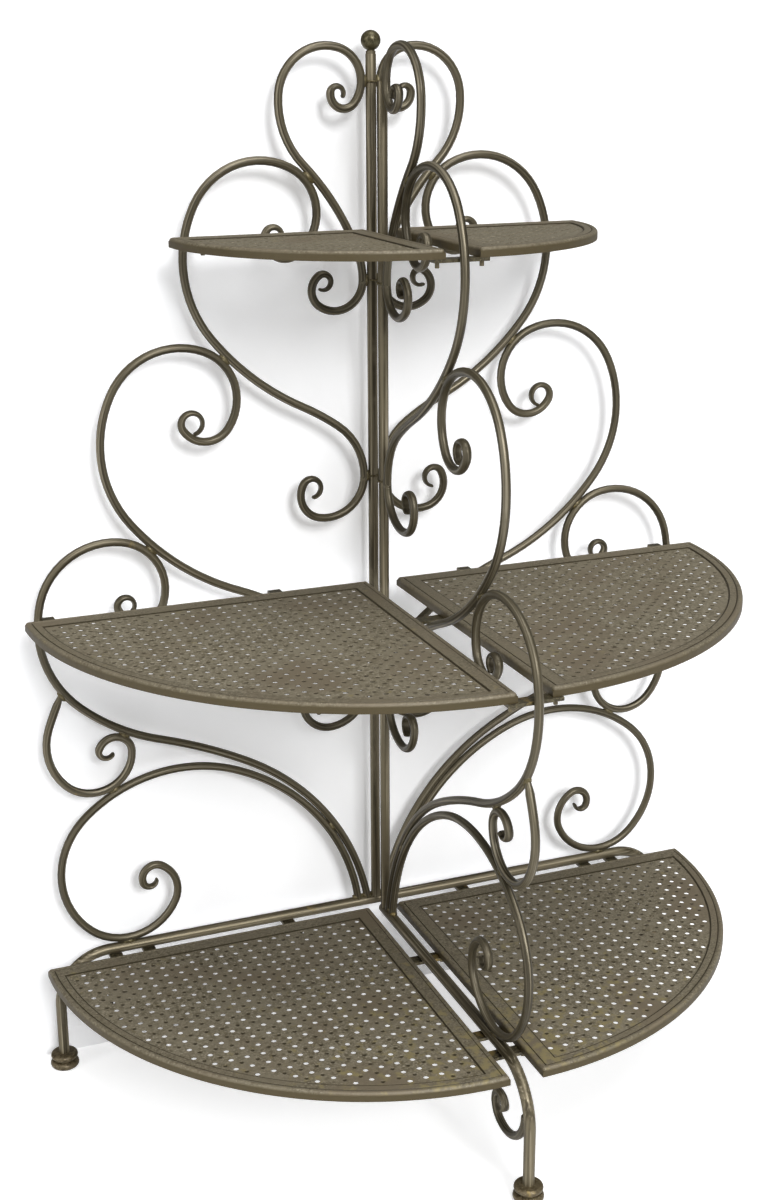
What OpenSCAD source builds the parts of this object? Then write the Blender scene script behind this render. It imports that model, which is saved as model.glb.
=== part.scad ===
// Half-round plant stand of three tiers, bent from round iron rod.
// A back frame and a front frame stand at right angles on three feet and
// carry six lift-off quarter shelves of punched sheet.

/* [Posts] */
// diameter of both upright posts
post_d = 14; // [12:0.5:17]
// distance between the axes of the back post and the front post
post_gap = 35; // [28:1:60]
// length of back post above the place where the crown scroll touches it
post_rise = 27; // [15:1:60]
// diameter of the ball on the back post
ball_d = 23; // [18:0.5:32]
// diameter of the neck between post and ball
neck_d = 9; // [6:0.5:12]
// height of the neck between post and ball
neck_h = 4; // [2:0.5:8]

/* [Rails and feet] */
// diameter of the rail and leg tube
rail_d = 13.5; // [12:0.5:16]
// height of the rail axis over the floor
rail_z = 153; // [140:1:180]
// distance from post axis to leg axis
leg_reach = 430; // [420:1:450]
// radius of the bend from rail to leg
leg_bend = 65; // [50:1:70]
// diameter of a bun foot
foot_d = 36; // [28:0.5:44]
// height of the lower disc of a foot
foot_low_h = 10; // [7:0.5:14]
// height of the upper disc of a foot
foot_top_h = 8; // [5:0.5:12]
// height of the groove between the two discs
foot_groove_h = 2; // [1:0.5:3]

/* [Scroll rods] */
// diameter of the scroll rod
rod_d = 10; // [8:0.5:11]
// diameter of the forged tip of a curl
tip_d = 5; // [3.5:0.5:7]
// depth that rod ends saddle over the rail
saddle = 3; // [1:0.5:4]

/* [Shelves] */
// radius of bottom shelves
bottom_r = 428; // [405:1:440]
// radius of middle shelves
middle_r = 426; // [425:1:440]
// radius of top shelves
top_r = 236; // [232:1:260]
// height of middle shelf tops over the floor
middle_z = 610; // [600:1:620]
// height of top shelf tops over the floor
top_z = 1040; // [1030:1:1048]
// distance from the front frame's plane to a shelf's side edge
side_gap = 20; // [18:1:30]
// distance from the back frame's plane to a shelf's back edge
back_gap = 27; // [22:1:28]
// height of the folded rim
rim_h = 11; // [8:0.5:16]
// thickness of the rim sheet
rim_t = 2; // [1.5:0.1:3]
// width of the border along the two straight edges
border_w = 24; // [18:1:30]
// width of the border along the curved edge
arc_border_w = 17; // [12:1:24]
// thickness of the punched sheet
sheet_t = 1.5; // [1:0.1:2]
// diameter of the punched holes
hole_d = 6.5; // [5:0.1:8]
// distance between punched holes along both straight edges
hole_pitch = 19; // [17:0.5:26]
// least distance from a hole to the border
hole_margin = 1.5; // [1:0.1:4]

/* [Cross bars and pegs] */
// width of the flat cross bars
bar_w = 16; // [12:1:18]
// thickness of the flat cross bars
bar_t = 4; // [3:0.5:6]
// length of a bar past its peg
bar_over = 6; // [5:0.5:10]
// length of back frame bars behind the frame
bar_tail = 14; // [8:1:16]
// diameter of the pegs under the shelves
peg_d = 5; // [4:0.5:6]
// distance from a shelf edge to its pegs
peg_in = 6; // [5:0.5:7]
// play between a peg and its hole, on the diameter
peg_play = 1; // [0.6:0.1:2]
// length of a peg below its bar
peg_below = 6; // [3:0.5:12]
// distance from the post axis to the first bottom bar
bar_a = 126; // [90:1:200]
// distance from the post axis to the second bottom bar
bar_b = 314; // [240:1:330]

/* [Hidden] */

$fn = 48;

// frame planes: the back frame stands across X, the front frame runs to -Y
foot_h = foot_low_h + foot_groove_h + foot_top_h;
// a thin collar, a little proud of the rod, closes each change of radius
proud = 0.05;
collar = 1;
kerf = 0.2;
back_y = (post_gap + leg_reach) / 2;
front_y = back_y - post_gap;
rail_top = rail_z + rail_d / 2;
rail_under = rail_z - rail_d / 2;
beside_post = post_d / 2 + rod_d / 2 + proud;

// bends: a rod is a list of [radius, turn], a turn to the left is positive,
// in a wing's plane with x outward from the post and y up
crown_up = [[84, -27.5], [554, -13], [87.5, 62], [52.5, 134], [26.5, 134], [12, 270]];
crown_down = [[35, 128], [22, 107], [9.5, 240]];
upper_up = [
    [80, -54.5], [327.5, -9.5], [319, 25.5], [142.5, 65.5],
    [87, 89.5], [57.5, 119.5], [25, 130], [10.5, 265]
];
upper_down = [[49, 103.5], [30, 105.5], [12, 229]];
middle_up = [
    [75.5, -45], [426, -23.5], [309, 30.5], [146, 64.5],
    [89.5, 85], [61.5, 104.5], [33.5, 112.5], [13, 285]
];
middle_down = [[50.5, 85.5], [36.5, 89], [14, 250]];
lower_up = [
    [317, -51.5], [639, -11], [257, 25], [137.5, 63.5],
    [87.5, 84], [62.5, 97.5], [30, 138], [10.5, 275]
];
base_up = [[270.5, -60.5], [185, -62.5], [0, -96], [69, -109], [40.5, -83], [17, -144], [9, -150]];
side_down = [[95.5, -31], [61, -72.5], [44.5, -107], [22.5, -116.5], [11, -169]];
brace_down = [[50, -70], [40, -40], [24, -70], [13, -140], [10, -70]];

function way(h) = [cos(h), sin(h)];
function left_of(h) = [-sin(h), cos(h)];
function heading(h, bends, i) = i == 0 ? h : heading(h, bends, i - 1) + bends[i - 1][1];
function step(h, bend) = sign(bend[1]) * bend[0] * (left_of(h) - left_of(h + bend[1]));
function joint(p, h, bends, i) = i == 0
    ? p
    : joint(p, h, bends, i - 1) + step(heading(h, bends, i - 1), bends[i - 1]);
function centre(p, h, bends, i) =
    joint(p, h, bends, i) + sign(bends[i][1]) * bends[i][0] * left_of(heading(h, bends, i));
function with_radius(bends, n, r) = [for (i = [0 : len(bends) - 1]) i == n ? [r, bends[i][1]] : bends[i]];
function up_by(reach, across) = sqrt(reach * reach - across * across);
function meet(a, ra, b, rb) = let (
        d = norm(b - a),
        along = (ra * ra - rb * rb + d * d) / (2 * d),
        off = up_by(ra, along),
        u = (b - a) / d
    ) a + along * u + off * [-u[1], u[0]];

// lower scroll: stands on the rail beside the post
lower_h = 80;
lower_p = [beside_post, rail_top - saddle];
lower_flank = centre(lower_p, lower_h, lower_up, 2);
lower_loop = centre(lower_p, lower_h, lower_up, 5);

// middle scroll: slides down the post until its flank lies on the lower loop
middle_rel = centre([beside_post, 0], 90, middle_up, 2);
middle_reach = middle_up[2][0] + lower_up[5][0] + rod_d;
middle_tie = lower_loop[1] - middle_rel[1] + up_by(middle_reach, middle_rel[0] - lower_loop[0]);
middle_p = [beside_post, middle_tie];
middle_loop = centre(middle_p, 90, middle_up, 5);

// upper scroll: the same on the middle loop
upper_rel = centre([beside_post, 0], 90, upper_up, 2);
upper_reach = upper_up[2][0] + middle_up[5][0] + rod_d;
upper_tie = middle_loop[1] - upper_rel[1] + up_by(upper_reach, upper_rel[0] - middle_loop[0]);
upper_p = [beside_post, upper_tie];
upper_loop = centre(upper_p, 90, upper_up, 4);

// crown scroll: its long bend rests round the upper loop, and its own loop
// is as wide as brings the curl back to the post
crown_rel = centre([beside_post, 0], 90, crown_up, 1);
crown_reach = crown_up[1][0] - upper_up[4][0] - rod_d;
crown_tie = upper_loop[1] - crown_rel[1] - up_by(crown_reach, crown_rel[0] - upper_loop[0]);
crown_p = [beside_post, crown_tie];
crown_h3 = heading(90, crown_up, 3);
crown_h4 = heading(90, crown_up, 4);
crown_turn = joint(crown_p, 90, crown_up, 3)[0] - beside_post;
crown_loop_r = (crown_turn - crown_up[4][0] * (1 + sin(crown_h4))) / (sin(crown_h3) - sin(crown_h4));
crown_bends = with_radius(crown_up, 3, crown_loop_r);
crown_touch_z = centre(crown_p, 90, crown_bends, 4)[1];

// base scroll: starts inside the lower scroll's first bend, which it
// touches, and is as tall as sets its own loop on the rail
base_h = 82.5;
base_rel = centre([0, rail_top - saddle], base_h, base_up, 0);
lower_first = centre(lower_p, lower_h, lower_up, 0);
base_reach = lower_up[0][0] - base_up[0][0] - rod_d;
base_x = lower_first[0] - up_by(base_reach, base_rel[1] - lower_first[1]) - base_rel[0];
base_p = [base_x, rail_top - saddle];
base_h2 = heading(base_h, base_up, 2);
base_h3 = heading(base_h, base_up, 3);
base_drop = joint(base_p, base_h, base_up, 2)[1] - rail_top - rod_d / 2;
base_top_r = (base_drop - base_up[3][0] * (1 + cos(base_h3))) / (cos(base_h2) - cos(base_h3));
base_bends = with_radius(base_up, 2, base_top_r);
base_shoulder = centre(base_p, base_h, base_bends, 1);

// side scroll: hangs between the lower flank and the base shoulder
side_h = -65;
side_curl = centre([0, 0], side_h, side_down, 3);
side_belly = centre([0, 0], side_h, side_down, 2);
side_p = meet(
    lower_flank - side_curl, lower_up[2][0] + side_down[3][0] + rod_d,
    base_shoulder - side_belly, base_up[1][0] + side_down[2][0] + rod_d
);

// leg brace: starts against the inner side of the leg
brace_h = 268;
brace_p = [leg_reach - rail_d / 2 - rod_d / 2, rail_under - 46];

front_post_top = crown_touch_z - 3;
back_post_top = crown_touch_z + post_rise;

// shelves and the bars under them
bottom_z = rail_under + rim_h;
peg_side = side_gap + peg_in;
peg_back = back_gap + peg_in;
peg_hole_d = peg_d + peg_play;
straight_end = leg_reach - leg_bend;
bar_c = straight_end - bar_w / 2;

// where a rod's surface crosses a height, on the chosen side of a bend's centre
function crossing(c, r, z, side) = c[0] + side * up_by(r, z - c[1]);
bar_low_mid = middle_z - rim_h - bar_t;
bar_low_top = top_z - rim_h - bar_t;
middle_long = centre(middle_p, 90, middle_up, 1);
bar_d = crossing(middle_long, middle_up[1][0] + rod_d / 2, bar_low_mid, -1) - bar_w / 2;
lower_wide = centre(lower_p, lower_h, lower_up, 3);
bar_e = min(
    crossing(lower_wide, lower_up[3][0] - rod_d / 2, bar_low_mid, 1),
    crossing(lower_wide, lower_up[3][0] - rod_d / 2, bar_low_mid + bar_t, 1)
) - bar_w / 2;
crown_foot = centre(crown_p, 90, crown_bends, 0);
bar_f = crossing(crown_foot, crown_bends[0][0] - rod_d / 2, bar_low_top + bar_t, -1) + bar_w / 2;
upper_wide = centre(upper_p, 90, upper_up, 3);
bar_g = min(
    crossing(upper_wide, upper_up[3][0] - rod_d / 2, bar_low_top, 1),
    crossing(upper_wide, upper_up[3][0] - rod_d / 2, bar_low_top + bar_t, 1)
) - bar_w / 2;

bottom_bars = [bar_a, bar_b, bar_c];
middle_bars = [bar_d, bar_e];
top_bars = [bar_f, bar_g];

// places of the three wings
module wing(side) {
    if (side == "left") {
        translate([0, back_y, 0])
            mirror([1, 0, 0])
                rotate([90, 0, 0])
                    children();
    }
    if (side == "right") {
        translate([0, back_y, 0])
            rotate([90, 0, 0])
                children();
    }
    if (side == "front") {
        translate([0, front_y, 0])
            rotate([0, 0, -90])
                rotate([90, 0, 0])
                    children();
    }
}

// one bend of a round rod, drawn short at its ends by cut_a and cut_b
module bend(p, h, r, turn, d, cut_a = 0, cut_b = 0) {
    c = p + sign(turn) * r * left_of(h);
    short_a = sign(turn) * cut_a / r * 180 / PI;
    short_b = sign(turn) * cut_b / r * 180 / PI;
    translate([c[0], c[1], 0])
        rotate([0, 0, h - 90 * sign(turn) + short_a])
            rotate_extrude(angle = turn - short_a - short_b)
                translate([r, 0])
                    circle(d = d);
}

module knuckle(p, h, d) {
    translate([p[0], p[1], 0])
        rotate([0, 0, h])
            rotate([0, 90, 0])
                cylinder(d = d + 2 * proud, h = collar, center = true);
}

// a rod of many bends, drawn thinner in steps round its last bend
module bent_rod(p, h, bends, from = 0) {
    n = len(bends) - 1;
    steps = 4;
    for (i = [0 : n - 1]) {
        at = joint(p, h, bends, i);
        bend(at, heading(h, bends, i), bends[i][0], bends[i][1], rod_d, i == 0 ? from : kerf, kerf);
        if (i > 0 || from > 0) {
            knuckle(at, heading(h, bends, i), rod_d);
        }
    }
    part = [bends[n][0], bends[n][1] / steps];
    curl = [for (k = [0 : steps - 1]) part];
    start = joint(p, h, bends, n);
    start_h = heading(h, bends, n);
    for (k = [0 : steps - 1]) {
        at = joint(start, start_h, curl, k);
        d = rod_d + (tip_d - rod_d) * k / (steps - 1);
        bend(at, heading(start_h, curl, k), part[0], part[1], d, kerf, k == steps - 1 ? 0 : kerf);
        knuckle(at, heading(start_h, curl, k), k == 0 ? d : d + (rod_d - tip_d) / (steps - 1));
    }
}

// a rod tied to the post at p, with one end going up and one going down
module tied_rod(p, up, down) {
    bent_rod(p, 90, up, kerf);
    bent_rod(p, 270, down, kerf);
}

module rail_tube(over) {
    translate([0, rail_z, 0])
        rotate([0, 90, 0])
            cylinder(d = rail_d, h = over, center = true);
}

module back_post() {
    color([0.31, 0.29, 0.21])
        difference() {
            translate([0, back_y, rail_top - saddle])
                cylinder(d = post_d, h = back_post_top - rail_top + saddle);
            wing("right") rail_tube(4 * post_d);
        }
}

module back_post_ball() {
    color([0.36, 0.34, 0.24])
        translate([0, back_y, back_post_top]) {
            cylinder(d = neck_d, h = neck_h + ball_d / 4);
            translate([0, 0, neck_h + up_by(ball_d / 2, neck_d / 2)])
                sphere(d = ball_d);
        }
}

module front_post() {
    color([0.37, 0.35, 0.28])
        difference() {
            translate([0, front_y, rail_top - saddle])
                cylinder(d = post_d, h = front_post_top - rail_top + saddle);
            wing("front") rail_tube(4 * post_d);
        }
}

// rail from a given start, bent down into the leg
module rail_half(start) {
    translate([start, rail_z, 0])
        rotate([0, 90, 0])
            cylinder(d = rail_d, h = straight_end - start);
    bend([straight_end, rail_z], 0, leg_bend, -90, rail_d);
    translate([leg_reach, foot_h, 0])
        rotate([-90, 0, 0])
            cylinder(d = rail_d, h = rail_z - leg_bend - foot_h);
}

module back_rail() {
    color([0.30, 0.27, 0.20]) {
        wing("left") rail_half(0);
        wing("right") rail_half(0);
    }
}

module front_rail() {
    color([0.30, 0.27, 0.20])
        wing("front") rail_half(-post_d / 2);
}

module foot(side) {
    edge = foot_low_h / 2;
    top_edge = foot_top_h / 2;
    color([0.36, 0.31, 0.22])
        wing(side)
            translate([leg_reach, 0, 0])
                rotate([-90, 0, 0])
                    rotate_extrude() {
                        square([foot_d / 2 - edge, foot_low_h]);
                        intersection() {
                            translate([foot_d / 2 - edge, edge])
                                circle(d = foot_low_h);
                            square([foot_d, foot_low_h]);
                        }
                        square([foot_d / 2 - edge, foot_h]);
                        intersection() {
                            translate([foot_d / 2 - edge, foot_h - top_edge])
                                circle(d = foot_top_h);
                            square([foot_d, foot_h]);
                        }
                    }
}

module crown_scroll(side) {
    color([0.40, 0.36, 0.31])
        wing(side)
            tied_rod(crown_p, crown_bends, crown_down);
}

module upper_scroll(side) {
    color([0.40, 0.36, 0.31])
        wing(side)
            tied_rod(upper_p, upper_up, upper_down);
}

module middle_scroll(side) {
    color([0.40, 0.36, 0.31])
        wing(side)
            tied_rod(middle_p, middle_up, middle_down);
}

module lower_scroll(side) {
    color([0.38, 0.35, 0.29])
        wing(side)
            difference() {
                bent_rod(lower_p, lower_h, lower_up);
                rail_tube(4 * post_d);
            }
}

module base_scroll(side) {
    color([0.38, 0.35, 0.29])
        wing(side)
            difference() {
                bent_rod(base_p, base_h, base_bends);
                rail_tube(6 * post_d);
            }
}

module side_scroll(side) {
    color([0.38, 0.35, 0.29])
        wing(side)
            bent_rod(side_p, side_h, side_down);
}

module leg_brace(side) {
    color([0.33, 0.31, 0.24])
        wing(side)
            bent_rod(brace_p, brace_h, brace_down);
}

// flat bar across a wing at distance u, its top at height z
module cross_bar(u, z, ahead, behind, holes) {
    difference() {
        translate([u - bar_w / 2, z - bar_t, -behind])
            cube([bar_w, bar_t, ahead + behind]);
        for (w = holes) {
            translate([u, z - bar_t - 1, w])
                rotate([-90, 0, 0])
                    cylinder(d = peg_hole_d, h = bar_t + 2);
        }
    }
}

module back_bars() {
    for (u = bottom_bars) cross_bar(u, rail_under, peg_back + bar_over, bar_tail, [peg_back]);
    for (u = middle_bars) cross_bar(u, middle_z - rim_h, peg_back + bar_over, bar_tail, [peg_back]);
    for (u = top_bars) cross_bar(u, top_z - rim_h, peg_back + bar_over, bar_tail, [peg_back]);
}

module cross_bars(side) {
    reach = peg_side + bar_over;
    color([0.30, 0.28, 0.20])
        wing(side) {
            if (side == "front") {
                for (u = bottom_bars) cross_bar(u, rail_under, reach, reach, [peg_side, -peg_side]);
                for (u = middle_bars) cross_bar(u, middle_z - rim_h, reach, reach, [peg_side, -peg_side]);
                for (u = top_bars) cross_bar(u, top_z - rim_h, reach, reach, [peg_side, -peg_side]);
            } else {
                back_bars();
            }
        }
}

// right-hand quarter shelf at a height, mirrored for the left
module shelf_place(side, z) {
    mirror([side == "left" ? 1 : 0, 0, 0])
        translate([side_gap, back_y - back_gap, z])
            children();
}

module quarter(r) {
    intersection() {
        circle(r = r, $fn = 180);
        translate([0, -r])
            square([r, r]);
    }
}

// quarter outline drawn in by a width at the straight edges and at the arc
module inset(r, straight, arc) {
    intersection() {
        circle(r = r - arc, $fn = 180);
        translate([straight, -r])
            square([r, r - straight]);
    }
}

module rim(side, z, r) {
    color([0.50, 0.46, 0.40])
        shelf_place(side, z)
            difference() {
                translate([0, 0, -rim_h])
                    linear_extrude(rim_h)
                        quarter(r);
                translate([0, 0, -rim_h - 1])
                    linear_extrude(rim_h - rim_t + 1)
                        inset(r, rim_t, rim_t);
                translate([0, 0, -rim_t - 1])
                    linear_extrude(rim_t + 2)
                        inset(r, border_w, arc_border_w);
            }
}

// punched sheet under the rim's border, its holes on a square grid
module sheet(side, z, r) {
    free = border_w + hole_d / 2 + hole_margin;
    far = r - arc_border_w - hole_d / 2 - hole_margin;
    count = floor((far - free) / hole_pitch);
    color([0.47, 0.44, 0.37])
        shelf_place(side, z - rim_t - sheet_t)
            linear_extrude(sheet_t)
                difference() {
                    inset(r, rim_t, rim_t);
                    for (i = [0 : count], j = [0 : count]) {
                        spot = [free + i * hole_pitch, -free - j * hole_pitch];
                        if (norm(spot) < far) {
                            translate(spot)
                                circle(d = hole_d, $fn = 24);
                        }
                    }
                }
}

module pegs(side, z, bars) {
    long = bar_t + peg_below;
    color([0.36, 0.33, 0.25])
        shelf_place(side, z - rim_h - long)
            for (u = bars) {
                translate([u - side_gap, -peg_in, 0])
                    cylinder(d = peg_d, h = long + rim_h - rim_t - sheet_t);
                translate([peg_in, back_gap - post_gap - u, 0])
                    cylinder(d = peg_d, h = long + rim_h - rim_t - sheet_t);
            }
}

back_post();
back_post_ball();
front_post();
back_rail();
front_rail();
crown_scroll("left");  // crown_scroll_left
crown_scroll("right");  // crown_scroll_right
crown_scroll("front");  // crown_scroll_front
upper_scroll("left");  // upper_scroll_left
upper_scroll("right");  // upper_scroll_right
upper_scroll("front");  // upper_scroll_front
middle_scroll("left");  // middle_scroll_left
middle_scroll("right");  // middle_scroll_right
middle_scroll("front");  // middle_scroll_front
lower_scroll("left");  // lower_scroll_left
lower_scroll("right");  // lower_scroll_right
lower_scroll("front");  // lower_scroll_front
base_scroll("left");  // base_scroll_left
base_scroll("right");  // base_scroll_right
base_scroll("front");  // base_scroll_front
side_scroll("left");  // side_scroll_left
side_scroll("right");  // side_scroll_right
side_scroll("front");  // side_scroll_front
leg_brace("left");  // leg_brace_left
leg_brace("right");  // leg_brace_right
leg_brace("front");  // leg_brace_front
foot("left");  // foot_left
foot("right");  // foot_right
foot("front");  // foot_front
cross_bars("left");  // cross_bars_left
cross_bars("right");  // cross_bars_right
cross_bars("front");  // cross_bars_front
rim("left", bottom_z, bottom_r);  // bottom_rim_left
rim("right", bottom_z, bottom_r);  // bottom_rim_right
sheet("left", bottom_z, bottom_r);  // bottom_sheet_left
sheet("right", bottom_z, bottom_r);  // bottom_sheet_right
pegs("left", bottom_z, bottom_bars);  // bottom_pegs_left
pegs("right", bottom_z, bottom_bars);  // bottom_pegs_right
rim("left", middle_z, middle_r);  // middle_rim_left
rim("right", middle_z, middle_r);  // middle_rim_right
sheet("left", middle_z, middle_r);  // middle_sheet_left
sheet("right", middle_z, middle_r);  // middle_sheet_right
pegs("left", middle_z, middle_bars);  // middle_pegs_left
pegs("right", middle_z, middle_bars);  // middle_pegs_right
rim("left", top_z, top_r);  // top_rim_left
rim("right", top_z, top_r);  // top_rim_right
sheet("left", top_z, top_r);  // top_sheet_left
sheet("right", top_z, top_r);  // top_sheet_right
pegs("left", top_z, top_bars);  // top_pegs_left
pegs("right", top_z, top_bars);  // top_pegs_right
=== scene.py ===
import math

import bpy
from mathutils import Matrix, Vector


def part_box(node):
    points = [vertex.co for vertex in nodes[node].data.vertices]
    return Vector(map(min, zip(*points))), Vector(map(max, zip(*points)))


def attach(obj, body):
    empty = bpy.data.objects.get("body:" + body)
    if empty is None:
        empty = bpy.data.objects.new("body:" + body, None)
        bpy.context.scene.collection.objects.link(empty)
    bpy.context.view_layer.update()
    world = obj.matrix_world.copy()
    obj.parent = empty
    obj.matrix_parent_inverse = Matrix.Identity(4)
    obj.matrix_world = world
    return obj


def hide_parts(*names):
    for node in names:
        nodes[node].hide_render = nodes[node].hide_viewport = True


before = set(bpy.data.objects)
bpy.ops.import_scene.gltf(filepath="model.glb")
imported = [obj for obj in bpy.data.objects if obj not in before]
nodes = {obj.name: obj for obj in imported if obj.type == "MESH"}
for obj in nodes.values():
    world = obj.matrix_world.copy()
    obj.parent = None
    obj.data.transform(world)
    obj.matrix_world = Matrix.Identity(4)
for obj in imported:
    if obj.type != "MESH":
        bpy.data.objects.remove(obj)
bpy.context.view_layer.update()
bpy.ops.object.select_all(action="DESELECT")

# Studio: the stand is photographed close before a white wall, a little from the left and
# from above. One large soft lamp is in front, one overhead and a weak one at the left. The
# floor and the wall are white paper that only keeps the soft shadows.
CAMERA_PLACE = (-0.7567, -1.6877, 1.2341)
CAMERA_TURN = (72.2562, 0.2793, -21.7755)
CAMERA_LENS = 51.15
FILM_HEIGHT = 36
# each lamp's way from the stand, the degrees that it spans, and its strength
LAMPS = {
    "key_lamp": ((0.14, -2.3, 1.25), 20, 2.1),
    "top_lamp": ((0.12, -0.6, 1.9), 40, 1.5),
    "side_lamp": ((-2.3, -0.9, 0.8), 30, 0.7),
}
ROOM_COLOUR = (1.0, 0.99, 0.97, 1)
ROOM_LIGHT = 0.18
SEEN_WHITE = (1, 1, 1, 1)
PAPER = (0.95, 0.955, 0.97, 1)
FLOOR_LIFT = 0.54
WALL_LIFT = 0.21
FLOOR_SIZE = 14.0
WALL_Y = 0.264

bpy.ops.object.camera_add(
    location=CAMERA_PLACE, rotation=tuple(math.radians(turn) for turn in CAMERA_TURN)
)
camera = bpy.context.object
camera.data.sensor_fit = "VERTICAL"
camera.data.sensor_height = FILM_HEIGHT
camera.data.lens = CAMERA_LENS
bpy.context.scene.camera = camera
bpy.context.scene.view_settings.view_transform = "Standard"

for name, (toward, spread, strength) in LAMPS.items():
    bpy.ops.object.light_add(type="SUN", location=toward)
    lamp = bpy.context.object
    lamp.name = name
    lamp.data.angle = math.radians(spread)
    lamp.data.energy = strength
    out = math.hypot(toward[0], toward[1])
    lamp.rotation_euler = (math.atan2(out, toward[2]), 0, math.atan2(toward[0], -toward[1]))

room = bpy.data.worlds.new("white_room")
bpy.context.scene.world = room
room.use_nodes = True
room_nodes = room.node_tree.nodes
room_links = room.node_tree.links
room_nodes.clear()
room_out = room_nodes.new("ShaderNodeOutputWorld")
room_mix = room_nodes.new("ShaderNodeMixShader")
room_soft = room_nodes.new("ShaderNodeBackground")
room_soft.inputs["Color"].default_value = ROOM_COLOUR
room_soft.inputs["Strength"].default_value = ROOM_LIGHT
room_white = room_nodes.new("ShaderNodeBackground")
room_white.inputs["Color"].default_value = SEEN_WHITE
room_path = room_nodes.new("ShaderNodeLightPath")
room_links.new(room_path.outputs["Is Camera Ray"], room_mix.inputs["Fac"])
room_links.new(room_soft.outputs[0], room_mix.inputs[1])
room_links.new(room_white.outputs[0], room_mix.inputs[2])
room_links.new(room_mix.outputs[0], room_out.inputs["Surface"])


def white_paper(name, lift, one_sided=False):
    """White paper that the camera sees lifted to full white outside the shadows."""
    paper = bpy.data.materials.new(name)
    paper.use_nodes = True
    tree = paper.node_tree
    tree.nodes.clear()
    out = tree.nodes.new("ShaderNodeOutputMaterial")
    both = tree.nodes.new("ShaderNodeAddShader")
    face = tree.nodes.new("ShaderNodeBsdfDiffuse")
    face.inputs["Color"].default_value = PAPER
    glow = tree.nodes.new("ShaderNodeEmission")
    path = tree.nodes.new("ShaderNodeLightPath")
    raised = tree.nodes.new("ShaderNodeMath")
    raised.operation = "MULTIPLY"
    raised.inputs[1].default_value = lift
    tree.links.new(path.outputs["Is Camera Ray"], raised.inputs[0])
    tree.links.new(raised.outputs[0], glow.inputs["Strength"])
    tree.links.new(face.outputs[0], both.inputs[0])
    tree.links.new(glow.outputs[0], both.inputs[1])
    shown = both
    if one_sided:
        clear = tree.nodes.new("ShaderNodeBsdfTransparent")
        shown = tree.nodes.new("ShaderNodeMixShader")
        facing = tree.nodes.new("ShaderNodeNewGeometry")
        tree.links.new(facing.outputs["Backfacing"], shown.inputs["Fac"])
        tree.links.new(both.outputs[0], shown.inputs[1])
        tree.links.new(clear.outputs[0], shown.inputs[2])
    tree.links.new(shown.outputs[0], out.inputs["Surface"])
    return paper


bpy.ops.mesh.primitive_plane_add(size=FLOOR_SIZE, location=(0, 0, 0))
floor = bpy.context.object
floor.name = "floor"
floor.data.materials.append(white_paper("floor_paper", FLOOR_LIFT))

# the wall is seen from the front only, and throws no light back
bpy.ops.mesh.primitive_plane_add(
    size=FLOOR_SIZE, location=(0, WALL_Y, FLOOR_SIZE / 2), rotation=(math.pi / 2, 0, 0)
)
wall = bpy.context.object
wall.name = "wall"
wall.data.materials.append(white_paper("wall_paper", WALL_LIFT, one_sided=True))
wall.visible_diffuse = False
wall.visible_glossy = False

# Posts and ball: two upright rods of drawn iron, the back one drawn in at its top to carry
# a ball on a short neck. They are dipped in dark bronze lacquer and brushed lengthwise, so
# pale streaks run down them.
MM = 0.001
POST_R = 6.2 * MM
POST_SIDES = 32
SHOULDER = 1.0 * MM
SHOULDER_FACES = 3
NECK_UP = 3.2 * MM
TOP_DEPTH = 0.1 * MM
LOOKS_UP = 0.9
SMOOTH_BELOW = math.radians(40)
FRAME_DARK = (0.055, 0.044, 0.023)
FRAME_BRONZE = (0.182, 0.153, 0.095)
FRAME_PALE = (0.420, 0.365, 0.260)
BALL_DARK = (0.050, 0.043, 0.020)
BALL_BRONZE = (0.105, 0.092, 0.046)
BALL_PALE = (0.19, 0.165, 0.095)
RUBBED_GOLD = (0.25, 0.185, 0.070)
# how marks are stretched: drawn out long up a post, or not at all
UPRIGHT = (1, 1, 0.012)
EVEN = (1, 1, 1)
# each noise in the lacquer: its waves per metre, its detail and how rough that is. Then
# come the levels between which it takes over.
BRUSH_NOISE = (210, 3.0, 0.55)
BRUSH_LEVELS = (0.34, 0.58)
LINE_NOISE = (420, 2.0, 0.5)
LINE_LEVELS = (0.52, 0.74)
DULL_NOISE = (16, 4.0, 0.6)
DULL_LEVELS = (0.36, 0.66)
DULL_SPREAD = (0.30, 0.90)
RUB_NOISE = (27, 6.0, 0.65)
RUB_EDGE = 0.07
# how much glossier and duller than its roughness the lacquer gets from mark to mark
GLOSSIER = 0.06
DULLER = 0.10
MARK_DEPTH = 0.3 * MM
MARK_STRENGTH = 0.25
# height over which upright marks on a leg turn into those along a rail
TURN_OVER = 10 * MM


def pick(*pieces):
    """Selects these pieces and nothing else, the first of them active."""
    bpy.ops.object.select_all(action="DESELECT")
    for piece in pieces:
        piece.select_set(True)
    if pieces:
        bpy.context.view_layer.objects.active = pieces[0]


def settle():
    """Puts the place, turn and scale of what is selected into its mesh."""
    bpy.ops.object.transform_apply(location=True, rotation=True, scale=True)


def select_top(piece, height):
    """Selects, for edit mode, the faces that look up at a height."""
    bpy.ops.mesh.select_all(action="DESELECT")
    bpy.ops.object.mode_set(mode="OBJECT")
    for face in piece.data.polygons:
        face.select = face.normal.z > LOOKS_UP and face.center.z > height - TOP_DEPTH
    bpy.ops.object.mode_set(mode="EDIT")


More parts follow.
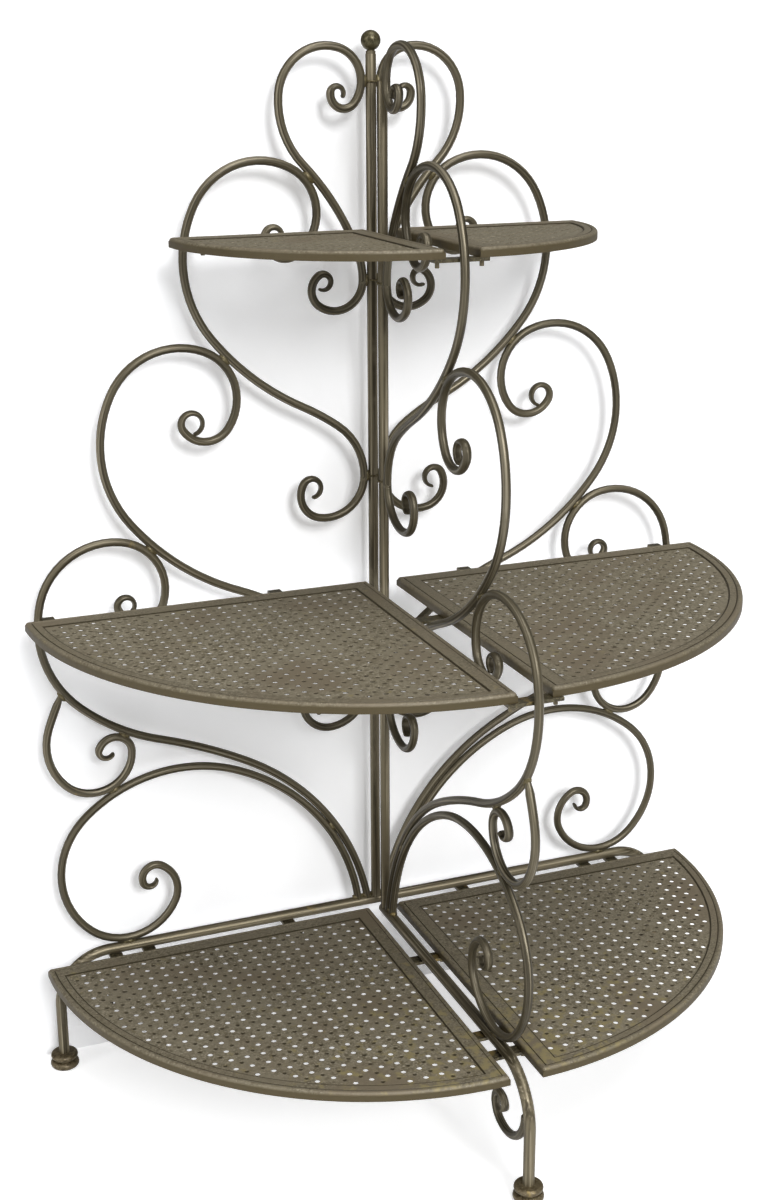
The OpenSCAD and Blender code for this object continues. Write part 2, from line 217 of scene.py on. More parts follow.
def upright_rod(name, neck):
    """A post as a round rod, its top edge rounded over, or drawn in to a neck for the ball."""
    low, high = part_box(name)
    pick()
    bpy.ops.mesh.primitive_cylinder_add(
        vertices=POST_SIDES, radius=POST_R, depth=high[2] - low[2],
        location=tuple((a + b) / 2 for a, b in zip(low, high)),
    )
    post = bpy.context.object
    post.name = name + "_rod"
    settle()
    bpy.ops.object.mode_set(mode="EDIT")
    select_top(post, high[2])
    bpy.ops.mesh.bevel(offset=SHOULDER, segments=SHOULDER_FACES, affect="EDGES")
    if neck:
        select_top(post, high[2])
        bpy.ops.mesh.extrude_region_move(TRANSFORM_OT_translate={"value": (0, 0, NECK_UP)})
    bpy.ops.object.mode_set(mode="OBJECT")
    bpy.ops.object.shade_smooth_by_angle(angle=SMOOTH_BELOW)
    return post


def add_node(tree, kind, **sockets):
    node = tree.nodes.new(kind)
    for socket, value in sockets.items():
        node.inputs[socket].default_value = value
    return node


def cloud(tree, source, noise, stretch=EVEN):
    """Soft noise over the surface, from its waves per metre, detail and roughness."""
    waves, detail, rough = noise
    fit = add_node(tree, "ShaderNodeMapping", Scale=stretch)
    field = add_node(tree, "ShaderNodeTexNoise", Scale=waves, Detail=detail, Roughness=rough)
    tree.links.new(source, fit.inputs["Vector"])
    tree.links.new(fit.outputs[0], field.inputs["Vector"])
    return field.outputs["Fac"]


def step_between(tree, source, low, high):
    """Nought below low, one above high, and smooth between them."""
    span = tree.nodes.new("ShaderNodeMapRange")
    span.interpolation_type = "SMOOTHSTEP"
    span.inputs["From Min"].default_value = low
    span.inputs["From Max"].default_value = high
    tree.links.new(source, span.inputs["Value"])
    return span.outputs["Result"]


def blend_colour(tree, amount, under, over):
    """Lays the colour over on the colour under by an amount. Either may be a socket."""
    mix = tree.nodes.new("ShaderNodeMix")
    mix.data_type = "RGBA"
    tree.links.new(amount, mix.inputs["Factor"])
    for slot, colour in (("A", under), ("B", over)):
        socket = [s for s in mix.inputs if s.name == slot and s.type == "RGBA"][0]
        if isinstance(colour, tuple):
            socket.default_value = (*colour, 1)
        else:
            tree.links.new(colour, socket)
    return [s for s in mix.outputs if s.type == "RGBA"][0]


def brush_marks(tree, place, lengthwise, noise, streak, legs):
    """Marks drawn out by streak, and upright instead below the height legs."""
    marks = cloud(tree, lengthwise, noise, streak)
    if not legs:
        return marks
    height = tree.nodes.new("ShaderNodeSeparateXYZ")
    tree.links.new(place, height.inputs[0])
    above = step_between(tree, height.outputs["Z"], legs - TURN_OVER, legs + TURN_OVER)
    down = cloud(tree, place, noise, UPRIGHT)
    return blend_colour(tree, above, down, marks)


def lacquer(
    name, dark, bronze, pale, streak, rub_from=0.72, grain=False, metal=0.45, rough=0.38, legs=0
):
    """Antiqued bronze lacquer, dark and pale in brush marks that streak draws out.

    rub_from is the noise above which it is rubbed to gold, grain draws the marks along a
    rolled rod, and below the height legs they run upright.
    """
    material = bpy.data.materials.new(name)
    material.use_nodes = True
    tree = material.node_tree
    shader = tree.nodes["Principled BSDF"]
    place = tree.nodes.new("ShaderNodeTexCoord").outputs["Object"]
    lengthwise = place
    if grain:
        drawn = tree.nodes.new("ShaderNodeAttribute")
        drawn.attribute_name = "grain"
        lengthwise = drawn.outputs["Vector"]
    brushed = brush_marks(tree, place, lengthwise, BRUSH_NOISE, streak, legs)
    lines = brush_marks(tree, place, lengthwise, LINE_NOISE, streak, legs)
    dulled = cloud(tree, place, DULL_NOISE)
    rubbed = cloud(tree, place, RUB_NOISE)
    colour = blend_colour(tree, step_between(tree, brushed, *BRUSH_LEVELS), dark, bronze)
    colour = blend_colour(tree, step_between(tree, lines, *LINE_LEVELS), colour, pale)
    plain = blend_colour(tree, step_between(tree, dulled, *DULL_LEVELS), colour, bronze)
    colour = blend_colour(tree, step_between(tree, dulled, *DULL_SPREAD), colour, plain)
    through = step_between(tree, rubbed, rub_from, rub_from + RUB_EDGE)
    colour = blend_colour(tree, through, colour, RUBBED_GOLD)
    tree.links.new(colour, shader.inputs["Base Color"])
    shader.inputs["Metallic"].default_value = metal
    sheen = tree.nodes.new("ShaderNodeMapRange")
    sheen.inputs["To Min"].default_value = rough - GLOSSIER
    sheen.inputs["To Max"].default_value = rough + DULLER
    tree.links.new(brushed, sheen.inputs["Value"])
    tree.links.new(sheen.outputs["Result"], shader.inputs["Roughness"])
    bump = add_node(tree, "ShaderNodeBump", Strength=MARK_STRENGTH, Distance=MARK_DEPTH)
    tree.links.new(brushed, bump.inputs["Height"])
    tree.links.new(bump.outputs[0], shader.inputs["Normal"])
    return material


def coat(node, material):
    """Gives a piece as it came from the frame its finish."""
    for place in nodes[node].material_slots:
        place.material = material


post_lacquer = lacquer("post_lacquer", FRAME_DARK, FRAME_BRONZE, FRAME_PALE, UPRIGHT)
for name in ("back_post", "front_post"):
    post = upright_rod(name, name == "back_post")
    post.data.materials.append(post_lacquer)
    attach(post, "frames")
    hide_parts(name)
ball_lacquer = lacquer(
    "ball_lacquer", BALL_DARK, BALL_BRONZE, BALL_PALE, EVEN, rub_from=0.62, metal=0.6, rough=0.33
)
coat("back_post_ball", ball_lacquer)

# Rails and legs: one tube bent down at both ends behind, and one welded to it that runs
# forward and down to the front foot. The same dark lacquer as the posts, brushed along the
# tube and down the legs.
ALONG_X = (0.012, 1, 1)
ALONG_Y = (1, 0.012, 1)
BEND_Z = 0.125
for name, streak in (("back_rail", ALONG_X), ("front_rail", ALONG_Y)):
    rail_lacquer = lacquer(
        name + "_lacquer", FRAME_DARK, FRAME_BRONZE, FRAME_PALE, streak, rub_from=0.68,
        legs=BEND_Z,
    )
    coat(name, rail_lacquer)

# Feet: three cast buns, each of two rounded discs with a groove between them, under the
# legs. They are handled and kicked most, so more gold shows.
FOOT_DARK = (0.070, 0.053, 0.027)
FOOT_BRONZE = (0.140, 0.110, 0.062)
FOOT_PALE = (0.24, 0.19, 0.115)
foot_lacquer = lacquer("foot_lacquer", FOOT_DARK, FOOT_BRONZE, FOOT_PALE, EVEN, rub_from=0.58)
for side in ("left", "right", "front"):
    coat("foot_" + side, foot_lacquer)

# Scroll rods: seven round iron rods a wing, each rolled to bends of falling radius and
# forged flat round the last curl. A rod tied to the post runs both ways from its tie, and
# the others stand on the rail or hang between their neighbours.
BACK_Y = 0.2325
FRONT_Y = 0.1975
ROD_R = 5 * MM
ROD_SIDES = 16
LONGEST_STEP = 11 * MM
WIDEST_STEP = 9
# a tip is hammered from a round rod to a thin and wide one, and rounded over at its end
TIP_R = 2.1 * MM
TIP_WIDE = 5.8 * MM
NOSE_STEP = 0.5 * TIP_R
NOSE_SHARES = (0.8, 0.45)
# the side scroll's upper end is hammered down where it meets the lower scroll
FORGED_SHARE = 0.72
FORGED_END = 5 * MM
FORGED_EDGE = 0.8
# Each rod has its start in millimetres, out from the post and up, and for each way that it
# runs its heading there and its bends: a radius in millimetres and a turn in degrees.
SCROLLS = {
    "crown_scroll": ((12.05, 977.124), [
        (90, [(92, -21.5), (304, -23.2), (98.5, 50), (57.9455, 99.7), (38.5, 115), (16.5, 145),
              (8, 200)]),
        (270, [(35, 128), (22, 107), (9.5, 240)]),
    ]),
    "upper_scroll": ((12.05, 737.199), [
        (90, [(80, -54.5), (327.5, -9.5), (319, 25.5), (142.5, 65.5), (87, 89.5), (57.5, 119.5),
              (25, 130), (10.5, 265)]),
        (270, [(49, 103.5), (30, 105.5), (12, 229)]),
    ]),
    "middle_scroll": ((12.05, 460.139), [
        (90, [(75.5, -45), (426, -23.5), (309, 30.5), (146, 64.5), (89.5, 85), (61.5, 104.5),
              (33.5, 112.5), (13, 285)]),
        (270, [(50.5, 85.5), (36.5, 89), (14, 250)]),
    ]),
    "lower_scroll": ((12.05, 156.75), [
        (80, [(317, -51.5), (639, -11), (257, 25), (137.5, 63.5), (87.5, 84), (62.5, 97.5),
              (30, 138), (10.5, 275)]),
    ]),
    "base_scroll": ((25.3462, 156.75), [
        (82.5, [(270.5, -60.5), (185, -62.5), (106.135, -96), (69, -109), (40.5, -83), (17, -144),
                (9, -150)]),
    ]),
    "side_scroll": ((406.186, 499.678), [
        (-64.5903, [(420, -5.40968), (76, -62.5), (48.5, -137.5), (21, -158), (9.5, -168)]),
    ]),
    "leg_brace": ((418.25, 100.25), [
        (268, [(50, -70), (40, -40), (24, -70), (13, -140), (10, -70)]),
    ]),
}
# the grain of a rod has its length as the third number, and the marks are drawn out along it
ALONG_ROD = (1, 1, 0.012)
SCROLL_DARK = (0.036, 0.029, 0.015)
SCROLL_BRONZE = (0.118, 0.100, 0.062)
SCROLL_PALE = (0.310, 0.272, 0.195)
# how a right-hand wing is laid to each of the three wings
TO_WING = {
    "right": Matrix.Identity(4),
    "left": Matrix.Scale(-1, 4, (1, 0, 0)),
    "front": Matrix.Translation((0, FRONT_Y, 0))
    @ Matrix.Rotation(-math.pi / 2, 4, "Z")
    @ Matrix.Translation((0, -BACK_Y, 0)),
}


def along(heading, length):
    """How far out and up a length goes at a heading, in degrees from outward."""
    way = math.radians(heading)
    return length * math.cos(way), length * math.sin(way)


def select_first_ring(rod):
    bpy.ops.mesh.select_all(action="DESELECT")
    bpy.ops.object.mode_set(mode="OBJECT")
    for point in rod.data.vertices:
        point.select = point.index < ROD_SIDES
    for line in rod.data.edges:
        line.select = all(v < ROD_SIDES for v in line.vertices)
    bpy.ops.object.mode_set(mode="EDIT")


def draw_on(rings, last, ahead, sense, share):
    """Draws the selected ring on by a step from the ring last, and shrinks it to a share."""
    run, u, z, heading = last
    out, up = along(heading, ahead)
    u, z = u + out, z + up
    bpy.ops.mesh.extrude_region_move(TRANSFORM_OT_translate={"value": (out, 0, up)})
    rings.append((run + sense * ahead, u, z, heading))
    bpy.ops.transform.resize(value=(share,) * 3, center_override=(u, BACK_Y, z))


def roll_way(rings, heading, bends, sense):
    """Rolls the selected ring through bends, forges it flat round the last and rounds its tip.
    rings holds each ring's run along the rod, place out and up, and heading."""
    _, u, z, _ = rings[0]
    run = 0.0
    for place, (radius, turn) in enumerate(bends):
        radius *= MM
        inward = math.copysign(90, turn)
        out, up = along(heading + inward, radius)
        centre_u, centre_z = u + out, z + up
        sweep = abs(math.radians(turn)) * radius
        steps = math.ceil(max(sweep / LONGEST_STEP, abs(turn) / WIDEST_STEP))
        forged = place == len(bends) - 1
        spins = steps if forged else 1
        for _ in range(spins):
            bpy.ops.mesh.spin(
                steps=steps // spins, angle=math.radians(turn) / spins,
                center=(centre_u, BACK_Y, centre_z), axis=(0, 1, 0),
            )
            for _ in range(steps // spins):
                heading += turn / steps
                out, up = along(heading - inward, radius)
                u, z = centre_u + out, centre_z + up
                run += sweep / steps
                rings.append((sense * run, u, z, heading))
            if forged:
                thin = (TIP_R / ROD_R) ** (1 / steps)
                wide = (TIP_WIDE / ROD_R) ** (1 / steps)
                bpy.ops.transform.resize(value=(thin, wide, thin), center_override=(u, BACK_Y, z))
    for share in NOSE_SHARES:
        draw_on(rings, rings[-1], NOSE_STEP, sense, share)
    bpy.ops.mesh.edge_face_add()


def close_start(rod, rings, forged):
    """Closes the start of a rod that runs one way, hammered down first if it is forged."""
    select_first_ring(rod)
    if forged:
        _, u, z, _ = rings[0]
        bpy.ops.transform.resize(value=(FORGED_SHARE,) * 3, center_override=(u, BACK_Y, z))
        draw_on(rings, rings[0], -FORGED_END, 1, FORGED_EDGE)
    bpy.ops.mesh.edge_face_add()


def face_outward():
    """Turns every face of the piece in edit mode outward, and leaves that mode."""
    bpy.ops.mesh.select_all(action="SELECT")
    bpy.ops.mesh.normals_make_consistent(inside=False)
    bpy.ops.object.mode_set(mode="OBJECT")


def note_grain(rod, rings):
    """Writes where each point lay before rolling: across the rod, and along its length."""
    drawn = rod.data.attributes.new("grain", "FLOAT_VECTOR", "POINT")
    for point in rod.data.vertices:
        run, u, z, heading = rings[point.index // ROD_SIDES]
        way = math.radians(heading)
        across = -(point.co.x - u) * math.sin(way) + (point.co.z - z) * math.cos(way)
        drawn.data[point.index].vector = (across, point.co.y - BACK_Y, run)


def roll_rod(name, start, ways, forged_start=False):
    """Rolls one rod from its start each way that it runs, in the right-hand wing."""
    u, z = start[0] * MM, start[1] * MM
    first_heading = ways[0][0]
    rings = [(0.0, u, z, first_heading)]
    pick()
    bpy.ops.mesh.primitive_circle_add(
        vertices=ROD_SIDES, radius=ROD_R, location=(u, BACK_Y, z),
        rotation=(0, math.radians(90 - first_heading), 0),
    )
    rod = bpy.context.object
    rod.name = name
    bpy.ops.object.mode_set(mode="EDIT")
    for sense, (heading, bends) in zip((1, -1), ways):
        select_first_ring(rod)
        roll_way(rings, heading, bends, sense)
    if len(ways) == 1:
        close_start(rod, rings, forged_start)
    face_outward()
    settle()
    bpy.ops.object.shade_smooth_by_angle(angle=SMOOTH_BELOW)
    note_grain(rod, rings)
    return rod


def wing_copy(piece, name, side):
    """Copies a right-hand piece to another wing, with a mesh of its own."""
    pick(piece)
    bpy.ops.object.duplicate(linked=False)
    copy = bpy.context.object
    copy.name = name
    copy.matrix_world = TO_WING[side]
    settle()
    bpy.ops.object.mode_set(mode="EDIT")
    face_outward()
    return copy


rod_lacquer = lacquer(
    "rod_lacquer", SCROLL_DARK, SCROLL_BRONZE, SCROLL_PALE, ALONG_ROD, rub_from=0.70, grain=True
)
for scroll, (start, ways) in SCROLLS.items():
    right = roll_rod(scroll + "_right_rod", start, ways, scroll == "side_scroll")
    right.data.materials.append(rod_lacquer)
    for side in ("right", "left", "front"):
        rod = right if side == "right" else wing_copy(right, f"{scroll}_{side}_rod", side)
        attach(rod, "frames")
        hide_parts(f"{scroll}_{side}")

# Braze beads: where two rods touch, or a rod touches a post or rail, a small uneven lump of
# braze holds them. The lacquer over it is thin and shows brassy.
BEAD_SHAPE = (1.5, 0.9, 0.75)
BEAD_SIDES = 16
BEAD_RINGS = 10
# how deep the braze is dented, and the share of it that goes every way, not straight out
BEAD_ROUGH = (0.5 * MM, 0.6)
# each joint's place out from the post and up, its lean in degrees and its size
BEADS = [
    (78.7, 1098.2, 48, 6.2), (187, 893.2, 46, 5.8), (285.5, 671.6, 44, 5.8), (330, 441.5, 27, 5.3),
    (346, 371, -27, 5.3), (403.4, 502.1, 54, 5.3), (338, 160.5, 0, 5.8), (61.7, 270.3, 57, 5.3),
    (8.5, 977, 90, 5.5), (8.5, 737.2, 90, 5.5), (8.5, 460.1, 90, 5.5), (8.5, 1205, 90, 5.0),
    (12.5, 160.5, 0, 5.5), (26, 160.5, 0, 5.5), (421, 99, 90, 5.0),
]
BRASS_DARK = (0.075, 0.060, 0.028)
BRASS = (0.135, 0.110, 0.052)
BRASS_PALE = (0.24, 0.20, 0.11)


def roughen(depth, uniform, seed):
    """Makes the piece in edit mode uneven, as by hand, and leaves that mode."""
    bpy.ops.transform.vertex_random(offset=depth, uniform=uniform, normal=1 - uniform, seed=seed)
    bpy.ops.object.mode_set(mode="OBJECT")


def join(pieces, name):
    """Makes one piece of many."""
    pick(*pieces)
    bpy.ops.object.join()
    bpy.context.object.name = name
    return bpy.context.object


def braze_lump(u, z, lean, radius, seed):
    """One lump of braze, drawn out along its joint."""
    pick()
    bpy.ops.mesh.primitive_uv_sphere_add(
        segments=BEAD_SIDES, ring_count=BEAD_RINGS, radius=radius * MM,
        location=(u * MM, BACK_Y, z * MM),
    )
    lump = bpy.context.object
    bpy.ops.object.mode_set(mode="EDIT")
    bpy.ops.mesh.select_all(action="SELECT")
    bpy.ops.transform.resize(value=BEAD_SHAPE)
    roughen(*BEAD_ROUGH, seed)
    lump.rotation_euler = (0, -math.radians(lean), 0)
    settle()
    return lump


bead_brass = lacquer(
    "bead_brass", BRASS_DARK, BRASS, BRASS_PALE, EVEN, rub_from=0.62, rough=0.40
)
right_beads = join(
    [braze_lump(*bead, seed=number) for number, bead in enumerate(BEADS)], "beads_right"
)
bpy.ops.object.shade_smooth()
settle()
right_beads.data.materials.append(bead_brass)
for side in ("right", "left", "front"):
    beads = right_beads if side == "right" else wing_copy(right_beads, "beads_" + side, side)
    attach(beads, "frames")

# Braze rings: at the height of each tie the braze has run round the post, and leaves a thin
# uneven seam. It is the same brass under thin lacquer as the beads.
RING_R = 6.8 * MM
SEAM_R = 1.3 * MM
SEAM_SIDES = 8
SEAM_ROUGH = (0.4 * MM, 0.5)
SEAM_SEED = 20
# the top seam leans two degrees out of level, and each below it a degree less
SEAM_LEAN = 2
TIE_HEIGHTS = {
    "back": (BACK_Y, (1205, 977, 737.2, 460.1)),
    "front": (FRONT_Y, (977, 737.2, 460.1)),
}
for post, (y, heights) in TIE_HEIGHTS.items():
    seams = []
    for number, z in enumerate(heights):
        pick()
        bpy.ops.mesh.primitive_torus_add(
            major_segments=POST_SIDES, minor_segments=SEAM_SIDES, major_radius=RING_R,
            minor_radius=SEAM_R, location=(0, y, z * MM),
            rotation=(math.radians(SEAM_LEAN - number), 0, 0),
        )
        seams.append(bpy.context.object)
        bpy.ops.object.mode_set(mode="EDIT")
        bpy.ops.mesh.select_all(action="SELECT")
        roughen(*SEAM_ROUGH, SEAM_SEED + number)
        settle()
        bpy.ops.object.shade_smooth()
    braze_rings = join(seams, f"{post}_post_braze_rings")
    braze_rings.data.materials.append(bead_brass)
    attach(braze_rings, "frames")

# Cross bars: flat iron bars welded across the frames under each shelf, drilled for its
# pegs. They are dipped with the frames, and their edges are worn from lifting the shelves.
BAR_DARK = (0.045, 0.036, 0.020)
BAR_BRONZE = (0.100, 0.086, 0.052)
BAR_PALE = (0.22, 0.185, 0.10)
bar_lacquer = lacquer("bar_lacquer", BAR_DARK, BAR_BRONZE, BAR_PALE, EVEN, rub_from=0.56)
for side in ("left", "right", "front"):
    coat("cross_bars_" + side, bar_lacquer)

# Shelves: each quarter has a folded rim with a rolled outer edge and a pressed groove
# inside it, over a sheet punched with holes and dimpled between them. Two or three pegs
# along each straight side drop into the cross bars.
TIERS = ("bottom", "middle", "top")
ARC_POINTS = 360
# how finely the rolled edge and the groove are made: round them, along the arc, and up a corner
EDGE_SIDES = 16
EDGE_STEPS = 72
EDGE_RINGS = 8
RIM_H = 11 * MM
RIM_T = 2 * MM
ROLL_R = 4 * MM
BORDER_W = 24 * MM
ARC_BORDER_W = 17 * MM
BORDER_DROP = 0.6 * MM
CREASE_R = 0.8 * MM
CREASE_IN = 6.9 * MM
LIP_W = 1.6 * MM
LIP_DROP = 0.5 * MM
SHEET_T = 1.35 * MM
HOLE_R = 3.25 * MM
HOLE_PITCH = 19 * MM
HOLE_MARGIN = 1.5 * MM
PUNCH_SIDES = 12
DIMPLE_R = 3.1 * MM
DIMPLE_DEPTH = 0.75 * MM
DIMPLE_FLOOR = 0.6
DIMPLE_PROUD = 0.05 * MM
SHELF_SMOOTH = math.radians(32)
SHELF_DARK = (0.120, 0.100, 0.062)
SHELF_BRONZE = (0.200, 0.172, 0.116)
SHELF_PALE = (0.310, 0.274, 0.200)
SHEET_DARK = (0.125, 0.104, 0.062)
SHEET_BRONZE = (0.232, 0.202, 0.140)
SHEET_PALE = (0.385, 0.342, 0.256)
# painted shade that darkens the dimples, the groove and the step under the border, painted shade
# in a dark golden olive down the rim's upright face, broad browner clouds over the shelves, and
# golden specks that gather towards the front corner of the left one
HOLLOW_SHADE = (0.040, 0.031, 0.014)
HOLLOW_SHADE_DEPTH = 0.5 * MM
HOLLOW_SHADE_INSIDE = ROLL_R + 1.5 * MM
# painted shade, dark golden olive, down the rim's upright face under the rolled edge
SKIRT_SHADE = (0.075, 0.056, 0.022)
SKIRT_SHADE_FROM = 1 * MM
SKIRT_SHADE_OVER = 2 * MM
BROWNED = (0.190, 0.155, 0.103)
BROWN_NOISE = (9, 3.0, 0.5)
BROWN_LEVELS = (0.46, 0.72)
CORNER_GOLD = (0.270, 0.225, 0.110)
GOLD_CORNER = (0.0, -0.19, 0.157)
GOLD_REACH = 0.36
GOLD_MORE = 0.20
SPECK_NOISE = (75, 3.0, 0.6)
SPECK_LEVELS = (0.62, 0.82)


def quarter_plate(name, radius, drawn_in, top, depth, lacquered=None):
    """A quarter disc with its two straight sides drawn in, from top down by depth."""
    pick()
    bpy.ops.mesh.primitive_circle_add(
        vertices=ARC_POINTS, radius=radius, fill_type="NGON", location=(0, 0, top)
    )
    plate = bpy.context.object
    plate.name = name
    bpy.ops.object.mode_set(mode="EDIT")
    bpy.ops.mesh.select_all(action="SELECT")
    bpy.ops.mesh.bisect(plane_co=(drawn_in, 0, 0), plane_no=(1, 0, 0), clear_inner=True)
    bpy.ops.mesh.select_all(action="SELECT")
    bpy.ops.mesh.bisect(plane_co=(0, -drawn_in, 0), plane_no=(0, 1, 0), clear_outer=True)
    bpy.ops.mesh.select_all(action="SELECT")
    bpy.ops.mesh.extrude_region_move(TRANSFORM_OT_translate={"value": (0, 0, -depth)})
    face_outward()
    settle()
    if lacquered:
        plate.data.materials.append(lacquered)
    return plate


def cut(piece, cutter, way="DIFFERENCE"):
    """Cuts one closed piece out of another, or welds it on, and throws the cutter away."""
    pick(piece)
    saw = piece.modifiers.new("saw", "BOOLEAN")
    saw.operation = way
    saw.solver = "MANIFOLD"
    saw.object = cutter
    bpy.ops.object.modifier_apply(modifier=saw.name)
    bpy.data.objects.remove(cutter)


def edge_bars(radius, drawn_in, thick, height):
    """Round bars along a quarter's outline, drawn in from it, and a ball at each corner."""
    reach = radius - drawn_in
    lean = math.asin(drawn_in / reach)
    far = reach * math.cos(lean)
    pick()
    bpy.ops.mesh.primitive_circle_add(
        vertices=EDGE_SIDES, radius=thick, fill_type="NGON", location=(far, -drawn_in, height),
        rotation=(math.pi / 2, 0, -lean),
    )
    bars = [bpy.context.object]
    bpy.ops.object.mode_set(mode="EDIT")
    bpy.ops.mesh.select_all(action="SELECT")
    bpy.ops.mesh.spin(
        steps=EDGE_STEPS, angle=math.pi / 2 - 2 * lean, center=(0, 0, height), axis=(0, 0, 1)
    )
    face_outward()
    middle = (far + drawn_in) / 2
    for place, turn in (
        ((middle, -drawn_in, height), (0, math.pi / 2, 0)),
        ((drawn_in, -middle, height), (math.pi / 2, 0, 0)),
    ):
        bpy.ops.mesh.primitive_cylinder_add(
            vertices=EDGE_SIDES, radius=thick, depth=far - drawn_in, location=place, rotation=turn
        )
        bars.append(bpy.context.object)
    for x, y in ((drawn_in, -drawn_in), (far, -drawn_in), (drawn_in, -far)):
        bpy.ops.mesh.primitive_uv_sphere_add(
            segments=EDGE_SIDES, ring_count=EDGE_RINGS, radius=thick, location=(x, y, height)
        )
        bars.append(bpy.context.object)
    return bars


def punch_set(name, spots, low_r, high_r, depth, middle):
    """A set of like punches, narrower below where they press dimples, as one cutter."""
    pick()
    bpy.ops.mesh.primitive_cone_add(
        vertices=PUNCH_SIDES, radius1=low_r, radius2=high_r, depth=depth, location=(0, 0, middle)
    )
    one = bpy.context.object
    settle()
    punches = []
    for x, y in spots:
        mesh = one.data.copy()
        mesh.transform(Matrix.Translation((x, y, 0)))
        punches.append(bpy.data.objects.new(name, mesh))
        bpy.context.collection.objects.link(punches[-1])
    bpy.data.objects.remove(one)
    return join(punches, name)


def punch(sheet, radius, top):
    """Punches the grid of holes and presses a dimple between each four of them."""
    free = BORDER_W + HOLE_R + HOLE_MARGIN
    far = radius - ARC_BORDER_W - HOLE_R - HOLE_MARGIN
    count = int((far - free) / HOLE_PITCH)

    def spots(shift):
        places = [free + (i + shift) * HOLE_PITCH for i in range(count + 1)]
        return [(x, -y) for x in places for y in places if math.hypot(x, y) < far]

    cut(sheet, punch_set("hole", spots(0), HOLE_R, HOLE_R, 3 * SHEET_T, top))
    middle = top - DIMPLE_DEPTH / 2 + DIMPLE_PROUD
    floor_r = DIMPLE_FLOOR * DIMPLE_R
    cut(sheet, punch_set("dimple", spots(0.5), floor_r, DIMPLE_R, DIMPLE_DEPTH, middle))


def folded_rim(name, radius, top, lacquered):
    """A rim folded from sheet: skirt, border, window with its lip, groove and rolled edge."""
    inner = radius - ARC_BORDER_W
    border_top = top - BORDER_DROP
    rim = quarter_plate(name, radius, 0, top - ROLL_R, RIM_H - ROLL_R, lacquered)
    cut(rim, quarter_plate("border", radius - ROLL_R, ROLL_R, border_top, ROLL_R), "UNION")
    cut(rim, quarter_plate("hollow", radius - RIM_T, RIM_T, top - RIM_T, RIM_H))
    cut(rim, quarter_plate("window", inner, BORDER_W, top + RIM_T, 2 * RIM_H))
    lip_depth = RIM_T + BORDER_DROP + LIP_DROP
    cut(rim, quarter_plate("lip", inner + LIP_W, BORDER_W - LIP_W, top + RIM_T, lip_depth))
    for bar in edge_bars(radius, CREASE_IN, CREASE_R, border_top):
        cut(rim, bar)
    for bar in edge_bars(radius, ROLL_R, ROLL_R, top - ROLL_R):
        cut(rim, bar, "UNION")
    return rim


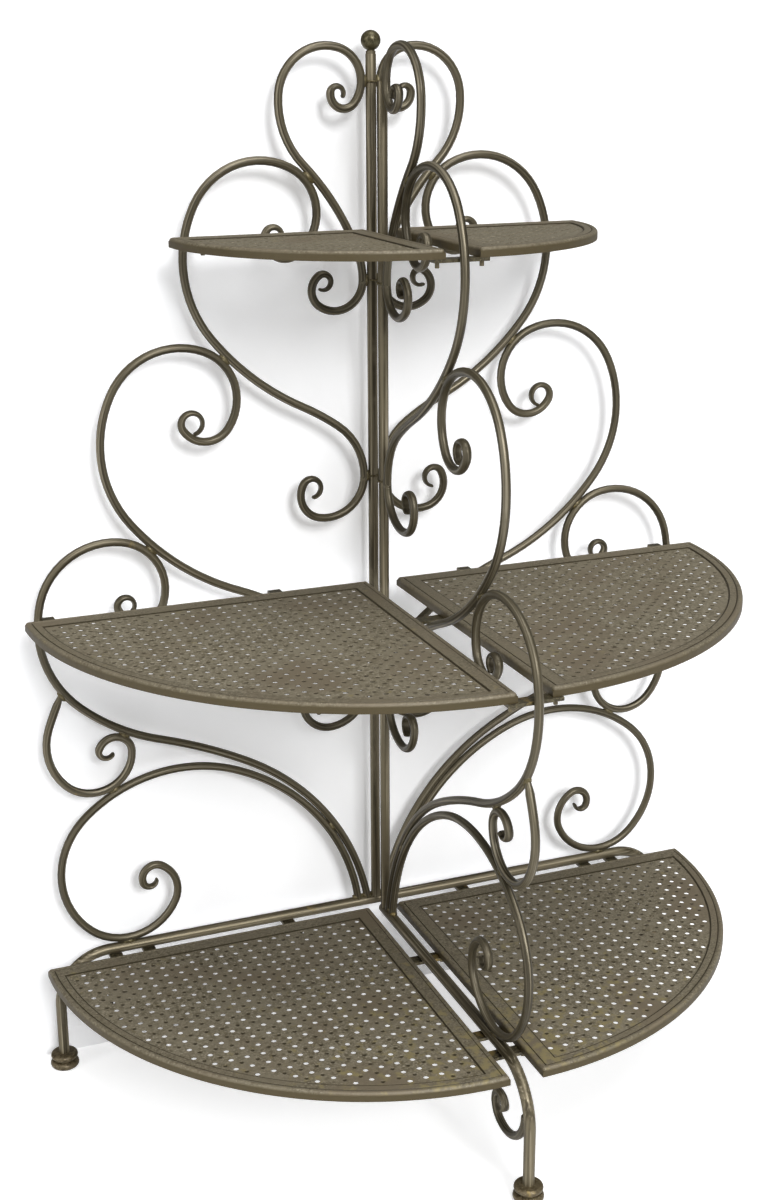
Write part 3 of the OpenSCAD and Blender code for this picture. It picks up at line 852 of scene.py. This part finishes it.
def shelf_lacquer(name, dark, bronze, pale):
    """Shelf colour, painted shade in hollows and down the rim's face, golden specks by the corner.
    """
    material = lacquer(name, dark, bronze, pale, EVEN, metal=0.15, rough=0.48)
    tree = material.node_tree
    shader = tree.nodes["Principled BSDF"]
    colour = shader.inputs["Base Color"].links[0].from_socket
    place = tree.nodes.new("ShaderNodeTexCoord").outputs["Object"]
    shade_paint = tree.nodes.new("ShaderNodeAttribute")
    shade_paint.attribute_name = "shade_paint"
    part = tree.nodes.new("ShaderNodeSeparateXYZ")
    tree.links.new(shade_paint.outputs["Vector"], part.inputs[0])
    away = tree.nodes.new("ShaderNodeVectorMath")
    away.operation = "DISTANCE"
    away.inputs[1].default_value = GOLD_CORNER
    tree.links.new(place, away.inputs[0])
    near = tree.nodes.new("ShaderNodeMapRange")
    near.inputs["From Min"].default_value = GOLD_REACH
    near.inputs["From Max"].default_value = 0.0
    near.inputs["To Max"].default_value = GOLD_MORE
    tree.links.new(away.outputs["Value"], near.inputs["Value"])
    specks = tree.nodes.new("ShaderNodeMath")
    tree.links.new(cloud(tree, place, SPECK_NOISE), specks.inputs[0])
    tree.links.new(near.outputs["Result"], specks.inputs[1])
    broad = cloud(tree, place, BROWN_NOISE)
    colour = blend_colour(tree, step_between(tree, broad, *BROWN_LEVELS), colour, BROWNED)
    shown = step_between(tree, specks.outputs[0], *SPECK_LEVELS)
    colour = blend_colour(tree, shown, colour, CORNER_GOLD)
    # painted shade: dark golden olive down the rim's upright face
    colour = blend_colour(tree, part.outputs["Y"], colour, SKIRT_SHADE)
    # painted shade in the hollows: the dimples, the groove and the step under the border
    colour = blend_colour(tree, part.outputs["X"], colour, HOLLOW_SHADE)
    tree.links.new(colour, shader.inputs["Base Color"])
    return material


def note_shade_paint(piece, radius, top, deepest):
    """Writes each point's painted shade, in hollows and down the rim's face, from its depth and
    way in.
    """
    shade_paint = piece.data.attributes.new("shade_paint", "FLOAT_VECTOR", "POINT")
    for point in piece.data.vertices:
        x, y, z = point.co
        depth = top - z
        inward = min(x, -y, radius - math.hypot(x, y))
        # painted shade where a point lies below the border or the sheet, away from the rolled edge
        hollow_shade = min(1.0, max(0.0, depth / deepest)) if inward > HOLLOW_SHADE_INSIDE else 0.0
        # painted shade down the upright face under the rolled edge, deepening from 1 to 3 mm down
        skirt_shade = min(1.0, max(0.0, depth - SKIRT_SHADE_FROM) / SKIRT_SHADE_OVER) if inward < ROLL_R else 0.0
        shade_paint.data[point.index].vector = (hollow_shade, skirt_shade, 0)


rim_lacquer = shelf_lacquer("rim_lacquer", SHELF_DARK, SHELF_BRONZE, SHELF_PALE)
sheet_lacquer = shelf_lacquer("sheet_lacquer", SHEET_DARK, SHEET_BRONZE, SHEET_PALE)
peg_lacquer = lacquer(
    "peg_lacquer", FRAME_DARK, FRAME_BRONZE, RUBBED_GOLD, EVEN, rub_from=0.6
)
for tier in TIERS:
    low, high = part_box(f"{tier}_rim_right")
    radius = high[0] - low[0]
    top = high[2]
    rim = folded_rim(f"{tier}_rim_right_roll", radius, top, rim_lacquer)
    # painted shade in the rim's groove and steps, and down its upright face
    note_shade_paint(rim, radius, top - BORDER_DROP, HOLLOW_SHADE_DEPTH)
    sheet_top = top - RIM_T
    sheet = quarter_plate(
        f"{tier}_sheet_right_punched", radius - RIM_T, RIM_T, sheet_top, SHEET_T, sheet_lacquer
    )
    punch(sheet, radius, sheet_top)
    # painted shade in the dimples
    note_shade_paint(sheet, radius, sheet_top, DIMPLE_DEPTH)
    for piece, part in ((rim, "rim"), (sheet, "sheet")):
        piece.data.transform(Matrix.Translation((low[0], high[1], 0)))
        pick(piece)
        bpy.ops.object.shade_smooth_by_angle(angle=SHELF_SMOOTH)
        left = wing_copy(piece, piece.name.replace("right", "left"), "left")
        for side, shown in (("right", piece), ("left", left)):
            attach(shown, f"{tier}_shelf_{side}")
            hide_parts(f"{tier}_{part}_{side}")
    for side in ("left", "right"):
        coat(f"{tier}_pegs_{side}", peg_lacquer)
